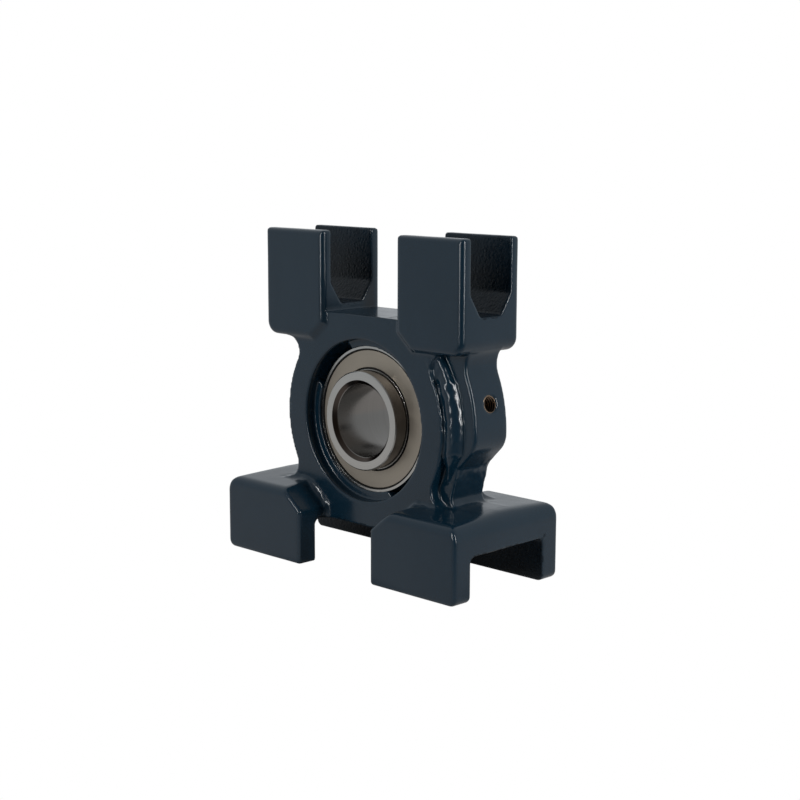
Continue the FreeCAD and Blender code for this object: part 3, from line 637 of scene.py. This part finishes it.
def noise_at(tree, place, scale, detail):
    """Noise over the given coordinates, in features per metre."""
    pattern = tree.nodes.new("ShaderNodeTexNoise")
    pattern.inputs["Scale"].default_value = scale
    pattern.inputs["Detail"].default_value = detail
    tree.links.new(place, pattern.inputs["Vector"])
    return pattern.outputs["Fac"]


def noise(tree, scale, detail):
    return noise_at(tree, object_place(tree), scale, detail)


def value_range(tree, value, span, target):
    """Map a value from one span on to another, held at its ends."""
    node = tree.nodes.new("ShaderNodeMapRange")
    for socket, limit in zip(list(node.inputs)[1:5], (*span, *target)):
        socket.default_value = limit
    tree.links.new(value, node.inputs["Value"])
    return node.outputs["Result"]


def spread_between(tree, value, low, high):
    """Map a noise value on to low to high."""
    return value_range(tree, value, (0.25, 0.75), (low, high))


def calculate(tree, operation, a, b):
    """One sum on two values, each a number or a node's output."""
    node = tree.nodes.new("ShaderNodeMath")
    node.operation = operation
    for socket, value in zip(node.inputs, (a, b)):
        if isinstance(value, (int, float)):
            socket.default_value = value
        else:
            tree.links.new(value, socket)
    return node.outputs["Value"]


def times(tree, a, b):
    return calculate(tree, "MULTIPLY", a, b)


def length_of(tree, vector):
    node = tree.nodes.new("ShaderNodeVectorMath")
    node.operation = "LENGTH"
    tree.links.new(vector, node.inputs[0])
    return node.outputs["Value"]


def distance_along(tree, vector, direction):
    """How far the vector goes along a fixed direction."""
    node = tree.nodes.new("ShaderNodeVectorMath")
    node.operation = "DOT_PRODUCT"
    node.inputs[1].default_value = direction
    tree.links.new(vector, node.inputs[0])
    return node.outputs["Value"]


def mix_shaders(tree, factor, first, second):
    """The second shader where the factor is one, the first where it is none."""
    node = tree.nodes.new("ShaderNodeMixShader")
    for socket, value in zip(node.inputs, (factor, first, second)):
        tree.links.new(value, socket)
    return node.outputs["Shader"]


def bump(tree, shader, height, distance, strength):
    node = tree.nodes.new("ShaderNodeBump")
    node.inputs["Distance"].default_value = distance
    node.inputs["Strength"].default_value = strength
    tree.links.new(height, node.inputs["Height"])
    tree.links.new(node.outputs["Normal"], shader.inputs["Normal"])


def tint(tree, shader, value, dark, light):
    """Base colour that runs from dark to light with the value."""
    node = tree.nodes.new("ShaderNodeMix")
    node.data_type = "RGBA"
    node.inputs["A"].default_value = (*dark, 1)
    node.inputs["B"].default_value = (*light, 1)
    tree.links.new(value, node.inputs["Factor"])
    tree.links.new(node.outputs["Result"], shader.inputs["Base Color"])


def cast_paint():
    """Gloss dark blue-grey paint over a casting, slightly uneven in colour, gloss and surface."""
    made, tree, shader = material("cast_paint_finish", (0.0024, 0.015, 0.0285), 0.0, 0.2)
    cloud = spread_between(tree, noise(tree, 60, 3), 0, 1)
    tint(tree, shader, cloud, (0.002, 0.0138, 0.0265), (0.003, 0.0163, 0.0305))
    tree.links.new(spread_between(tree, noise(tree, 200, 2), 0.17, 0.23), shader.inputs["Roughness"])
    bump(tree, shader, noise(tree, 260, 2), 0.0001, 0.3)
    return made


def slot_paint_and_shade():
    """The same paint where it lies thin and dull over the pebbled skin of the slots and the channel, darkened
    in colour by painted shade of these recesses.
    """
    # Darker base colour: painted shade of the slots and the channel
    made, tree, shader = material("slot_paint_and_shade_finish", (0.0018, 0.009, 0.018), 0.0, 0.3)
    shader.inputs["Specular IOR Level"].default_value = 0.26
    cloud = spread_between(tree, noise(tree, 300, 3), 0, 1)
    tint(tree, shader, cloud, (0.001, 0.006, 0.012), (0.003, 0.012, 0.022))
    tree.links.new(spread_between(tree, noise(tree, 700, 2), 0.22, 0.38), shader.inputs["Roughness"])
    bump(tree, shader, noise(tree, 1050, 2), 0.0003, 0.6)
    return made


def ring_painted_shade(tree, radius):
    """Brightness of the inner ring by radius: painted shade that dims the bore, dark on its chamfer, full on
    the face, and painted shade that dims the skirt beside the land."""
    # Painted shade in the bore, and the darker chamfer
    inside = value_range(tree, radius, ((BORE_RADIUS + 0.1) * MM, (BORE_RADIUS + 0.2) * MM),
                         (BORE_SHADE, CHAMFER_SHADE))
    outside = value_range(tree, radius, ((CHAMFER_RADIUS - 0.1) * MM, CHAMFER_RADIUS * MM), (0, 1))
    # Painted shade on the skirt beside the land
    falling = value_range(tree, radius, (SKIRT_START * MM, SKIRT_FULL * MM), (1, SKIRT_SHADE))
    rising = value_range(tree, radius, (SKIRT_FADE * MM, SKIRT_END * MM), (0, 1 - SKIRT_SHADE))
    face = calculate(tree, "MAXIMUM", inside, outside)
    return times(tree, face, calculate(tree, "ADD", falling, rising))


def turned_steel(name, color, roughness, grain=0.12, brushed=0.6, bored_ring=False):
    """Steel with fine rings about the shaft axis: noise that changes along Y and with the radius only, and
    reflections drawn out across the rings. A bored ring gets painted shade in its bore and on the skirt beside
    its land, and a darker chamfer."""
    made, tree, shader = material(name, color, 1.0, roughness)
    shader.inputs["Anisotropic"].default_value = brushed
    round_about = tree.nodes.new("ShaderNodeTangent")
    round_about.direction_type, round_about.axis = "RADIAL", "Y"
    tree.links.new(round_about.outputs["Tangent"], shader.inputs["Tangent"])
    split = tree.nodes.new("ShaderNodeSeparateXYZ")
    tree.links.new(object_place(tree), split.inputs["Vector"])
    flat = tree.nodes.new("ShaderNodeCombineXYZ")
    tree.links.new(split.outputs["X"], flat.inputs["X"])
    tree.links.new(split.outputs["Z"], flat.inputs["Z"])
    radius = length_of(tree, flat.outputs["Vector"])
    section = tree.nodes.new("ShaderNodeCombineXYZ")
    tree.links.new(radius, section.inputs["X"])
    tree.links.new(split.outputs["Y"], section.inputs["Y"])
    rings = noise_at(tree, section.outputs["Vector"], LINES_A_METRE, 4)
    bump(tree, shader, rings, 0.00001, 0.5)
    blotch = spread_between(tree, noise(tree, 120, 3), roughness * 0.8, roughness * 1.25)
    tree.links.new(blotch, shader.inputs["Roughness"])
    shade = spread_between(tree, rings, 1 - 2 * grain, 1)
    if bored_ring:
        # Painted shade in the bore and on the skirt, and the darker chamfer
        shade = times(tree, shade, ring_painted_shade(tree, radius))
    tint(tree, shader, shade, (0.03, 0.012, 0.004), color)
    return made


def threaded_steel():
    """Brown steel of the grease thread, with painted shade in each root and a painted highlight along each
    top, by the distance along the hole in pitches."""
    made, tree, shader = material("thread_steel_finish", (0.3, 0.2, 0.14), 1.0, 0.35)
    pitch = THREAD_PITCH * MM
    pitches = distance_along(tree, object_place(tree),
                             (math.cos(GREASE_ANGLE) / pitch, 0, math.sin(GREASE_ANGLE) / pitch))
    turn = calculate(tree, "PINGPONG", pitches, 0.5)
    # Painted shade in each root and a painted highlight along each top of the thread
    painted_crest_light = value_range(tree, turn, (0.15, 0.35), (0, 1))
    tint(tree, shader, painted_crest_light, (0.008, 0.006, 0.005), (0.38, 0.27, 0.19))
    tree.links.new(spread_between(tree, noise(tree, 900, 2), 0.28, 0.45), shader.inputs["Roughness"])
    return made


def seal_rubber():
    """Matt black rubber with a fine grain."""
    made, tree, shader = material("seal_rubber_finish", (0.006, 0.006, 0.006), 0.0, 0.55)
    shader.inputs["Specular IOR Level"].default_value = 0.2
    tree.links.new(spread_between(tree, noise(tree, 400, 3), 0.45, 0.65), shader.inputs["Roughness"])
    bump(tree, shader, noise(tree, 2500, 2), 0.00002, 0.4)
    return made


def wear(thing, finish, body=None, node=None):
    """Give a piece its finish, and if it is a new one, the body it rides on and what it stands for."""
    thing.data.materials.clear()
    thing.data.materials.append(finish)
    if body:
        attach(thing, body)
    if node:
        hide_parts(node)


# Studio

def area_light(name, azimuth, power):
    """Upright strip light round the object: azimuth 0 is straight in front, 90 is on the grease boss side."""
    angle = math.radians(azimuth)
    place = Vector((STRIP_DISTANCE * math.sin(angle), -STRIP_DISTANCE * math.cos(angle), STRIP_HEIGHT))
    lamp = bpy.data.lights.new(name, "AREA")
    lamp.shape, lamp.size, lamp.size_y = "RECTANGLE", STRIP_WIDTH, STRIP_LENGTH
    lamp.energy = power
    thing = bpy.data.objects.new(name, lamp)
    thing.location = place
    thing.rotation_euler = (-place).to_track_quat("-Z", "Y").to_euler()
    bpy.context.scene.collection.objects.link(thing)


def surround():
    """World that the camera sees as white, and the object as soft light that falls off to the camera."""
    world = bpy.data.worlds.new("studio")
    bpy.context.scene.world = world
    world.use_nodes = True
    tree = world.node_tree
    light = tree.nodes["Background"]
    direction = tree.nodes.new("ShaderNodeTexCoord").outputs["Generated"]
    shades = tree.nodes.new("ShaderNodeValToRGB")
    shades.color_ramp.elements.remove(shades.color_ramp.elements[1])
    for place, shade in SURROUND:
        stop = shades.color_ramp.elements.new(place) if place else shades.color_ramp.elements[0]
        stop.color = (*shade, 1)
    turn = value_range(tree, distance_along(tree, direction, TOWARD_CAMERA), (-1, 1), (0, 1))
    tree.links.new(turn, shades.inputs["Fac"])
    tree.links.new(shades.outputs["Color"], light.inputs["Color"])
    white = tree.nodes.new("ShaderNodeBackground")
    white.inputs["Color"].default_value = (1, 1, 1, 1)
    seen = tree.nodes.new("ShaderNodeLightPath").outputs["Is Camera Ray"]
    shown = mix_shaders(tree, seen, light.outputs["Background"], white.outputs["Background"])
    tree.links.new(shown, tree.nodes["World Output"].inputs["Surface"])


def floor():
    """Pale floor at the feet: white to the camera, and in reflections a glow with a painted shadow under the
    object, by the place in units of its footprint, and with painted shade towards the camera."""
    level = cad_box[0][2]
    corners = [(-FLOOR_HALF, -FLOOR_HALF, level), (FLOOR_HALF, -FLOOR_HALF, level),
               (FLOOR_HALF, FLOOR_HALF, level), (-FLOOR_HALF, FLOOR_HALF, level)]
    plane = new_mesh("floor", np.array(corners), np.array([[0, 1, 2, 3]]))
    paint, tree, shader = material("floor_paint", (0.65, 0.65, 0.65), 0.0, 0.8)
    white = tree.nodes.new("ShaderNodeEmission")
    path = tree.nodes.new("ShaderNodeLightPath")
    seen = mix_shaders(tree, path.outputs["Is Camera Ray"], shader.outputs["BSDF"], white.outputs["Emission"])
    here = object_place(tree)
    footprint = tree.nodes.new("ShaderNodeMapping")
    footprint.inputs["Scale"].default_value = (1 / (BASE_REACH * MM), 1 / (BASE_HALF * MM), 0)
    tree.links.new(here, footprint.inputs["Vector"])
    beyond = length_of(tree, footprint.outputs["Vector"])
    nearer = distance_along(tree, here, (TOWARD_CAMERA[0], TOWARD_CAMERA[1], 0))
    reflected_floor_glow = tree.nodes.new("ShaderNodeEmission")
    # Painted shadow under the object and painted shade towards the camera, in what reflections see of the
    # floor
    painted_shadow_strength = times(tree, value_range(tree, nearer, *CAMERA_SIDE_PAINTED_SHADE),
                   value_range(tree, beyond, *FOOTPRINT_PAINTED_SHADOW))
    tree.links.new(painted_shadow_strength, reflected_floor_glow.inputs["Strength"])
    shown = mix_shaders(tree, path.outputs["Is Glossy Ray"], seen, reflected_floor_glow.outputs["Emission"])
    tree.links.new(shown, tree.nodes["Material Output"].inputs["Surface"])
    plane.data.materials.append(paint)


def camera():
    place, aim = Vector(CAMERA_PLACE), Vector(CAMERA_AIM)
    forward = (aim - place).normalized()
    level = forward.cross(Vector((0, 0, 1))).normalized()
    upright = level.cross(forward)
    right = math.cos(CAMERA_ROLL) * level + math.sin(CAMERA_ROLL) * upright
    up = math.cos(CAMERA_ROLL) * upright - math.sin(CAMERA_ROLL) * level
    lens = bpy.data.cameras.new("camera")
    lens.sensor_width = SENSOR_WIDTH
    lens.lens = FOCAL_PIXELS / PICTURE_PIXELS * SENSOR_WIDTH
    lens.clip_start, lens.clip_end = 0.01, 20
    thing = bpy.data.objects.new("camera", lens)
    axes = Matrix((right, up, -forward)).transposed()
    thing.matrix_world = Matrix.Translation(place) @ axes.to_4x4()
    bpy.context.scene.collection.objects.link(thing)
    bpy.context.scene.camera = thing


def main():
    cast_skin()
    wear(grease_thread(), threaded_steel(), "housing")
    ground = turned_steel("ground_ring_finish", (0.54, 0.53, 0.51), 0.2, grain=0.07, brushed=0.4,
                          bored_ring=True)
    satin = turned_steel("shield_steel_finish", (0.355, 0.318, 0.268), 0.45, grain=0.03, brushed=0)
    pressed = turned_steel("cage_steel_finish", (0.55, 0.54, 0.52), 0.35)
    polished = turned_steel("ball_steel_finish", (0.75, 0.75, 0.76), 0.08, grain=0, brushed=0)
    dark = turned_steel("screw_steel_finish", (0.08, 0.08, 0.085), 0.35, brushed=0)
    rubber = seal_rubber()
    for side, end in ((-1, "front"), (1, "rear")):
        shield = lathe(end + "_shield_pressed", shield_section(side))
        wear(shield, satin, "outer_ring", end + "_shield")
        wear(lathe(end + "_seal_bead", rubber_section(side)), rubber, "outer_ring")
    wear(lathe("inner_ring_land", land_section()), ground, "inner_ring")
    finishes = {"ring_steel": ground, "shield_steel": satin, "cage_steel": pressed, "ball_steel": polished,
                "screw_steel": dark, "seal_rubber": rubber}
    for part in frame["record"]["subparts"]:
        if part["material_slot"] in finishes:
            wear(frame["nodes"][part["node"]], finishes[part["material_slot"]])
    surround()
    area_light("strip_front", FRONT_STRIP_AZIMUTH, FRONT_STRIP_POWER)
    area_light("strip_side", SIDE_STRIP_AZIMUTH, SIDE_STRIP_POWER)
    floor()
    camera()
    bpy.context.scene.view_settings.view_transform = "Standard"


main()
